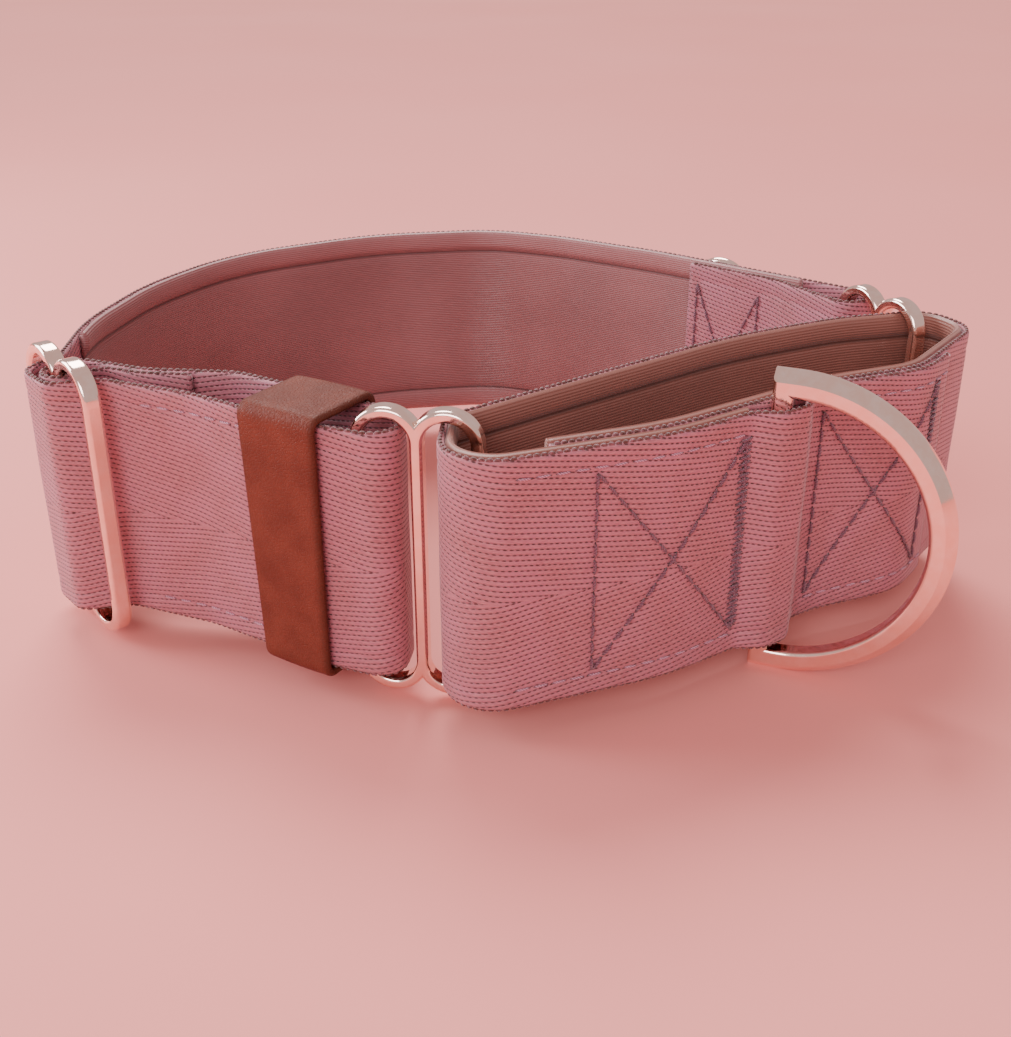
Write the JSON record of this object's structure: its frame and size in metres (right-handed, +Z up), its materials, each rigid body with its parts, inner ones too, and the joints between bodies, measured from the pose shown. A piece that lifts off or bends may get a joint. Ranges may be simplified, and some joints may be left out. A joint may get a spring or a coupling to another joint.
{
  "type": "martingale collar",
  "caption": "Wide woven martingale collar: padded neck strap with slider and keeper, and a lined control loop that passes two rings and carries a flat D-ring for a lead.",
  "frame": {"origin": "middle of the base, level with the lowest point of the lead ring", "axes": "+X to the right along the long axis, +Y away from the lead ring's side, +Z up"},
  "size_m": [0.1946, 0.1562, 0.0624],
  "materials": {
    "webbing": "woven, slight sheen",
    "lining": "satin",
    "thread": "matt",
    "pale_thread": "matt",
    "leather": "smooth, soft sheen",
    "ring_metal": "polished rose gold plating"
  },
  "bodies": {
    "main_strap": {"main_webbing": "webbing", "main_lining": "lining", "main_edge_stitching_top": "pale_thread", "main_edge_stitching_bottom": "pale_thread", "ring_end_stitch_box": "thread", "slider_end_stitching": "thread", "tag_tab": "webbing", "tag_tab_stitching": "thread"},
    "slider_body": {"slider": "ring_metal"},
    "centre_ring_body": {"centre_ring": "ring_metal"},
    "far_ring_body": {"far_ring": "ring_metal"},
    "keeper": {"keeper_band": "leather", "keeper_stitching": "thread"},
    "control_loop": {"control_webbing": "webbing", "control_lining": "lining", "control_edge_stitching_top": "pale_thread", "control_edge_stitching_bottom": "pale_thread", "stitch_box_left": "thread", "stitch_box_right": "thread"},
    "lead_ring_body": {"lead_ring": "ring_metal"},
    "tag_ring_body": {"tag_ring": "ring_metal"}
  },
  "joints": [
    {"name": "lead_ring_swing", "type": "hinge", "parent": "control_loop", "child": "lead_ring_body", "pos_m": [0.04939, -0.05158, 0.0016], "axis": [0, 0, 1], "range_deg": [-102, 38]},
    {"name": "keeper_slide", "type": "slide", "parent": "main_strap", "child": "keeper", "axis": [-0.848, 0.5299, 0], "range_m": [0, 0.008]},
    {"name": "slider_turn", "type": "hinge", "parent": "main_strap", "child": "slider_body", "pos_m": [-0.08713, -0.03421, 0.0016], "axis": [0, 0, 1], "range_deg": [-3, 3]},
    {"name": "centre_ring_turn", "type": "hinge", "parent": "main_strap", "child": "centre_ring_body", "pos_m": [-0.02736, -0.0603, 0.0016], "axis": [0, 0, 1], "range_deg": [-3, 3]},
    {"name": "far_ring_turn", "type": "hinge", "parent": "main_strap", "child": "far_ring_body", "pos_m": [0.07717, 0.01764, 0.0016], "axis": [0, 0, 1], "range_deg": [-3, 3]},
    {"name": "control_loop_pull", "type": "slide", "parent": "main_strap", "child": "control_loop", "axis": [-0.5878, -0.809, 0], "range_m": [-0.0008, 0]},
    {"name": "tag_ring_swing", "type": "hinge", "parent": "main_strap", "child": "tag_ring_body", "pos_m": [0.05329, 0.04727, 0.0408], "axis": [-0.776, 0.6307, 0], "range_deg": [-4, 120]}
  ]
}
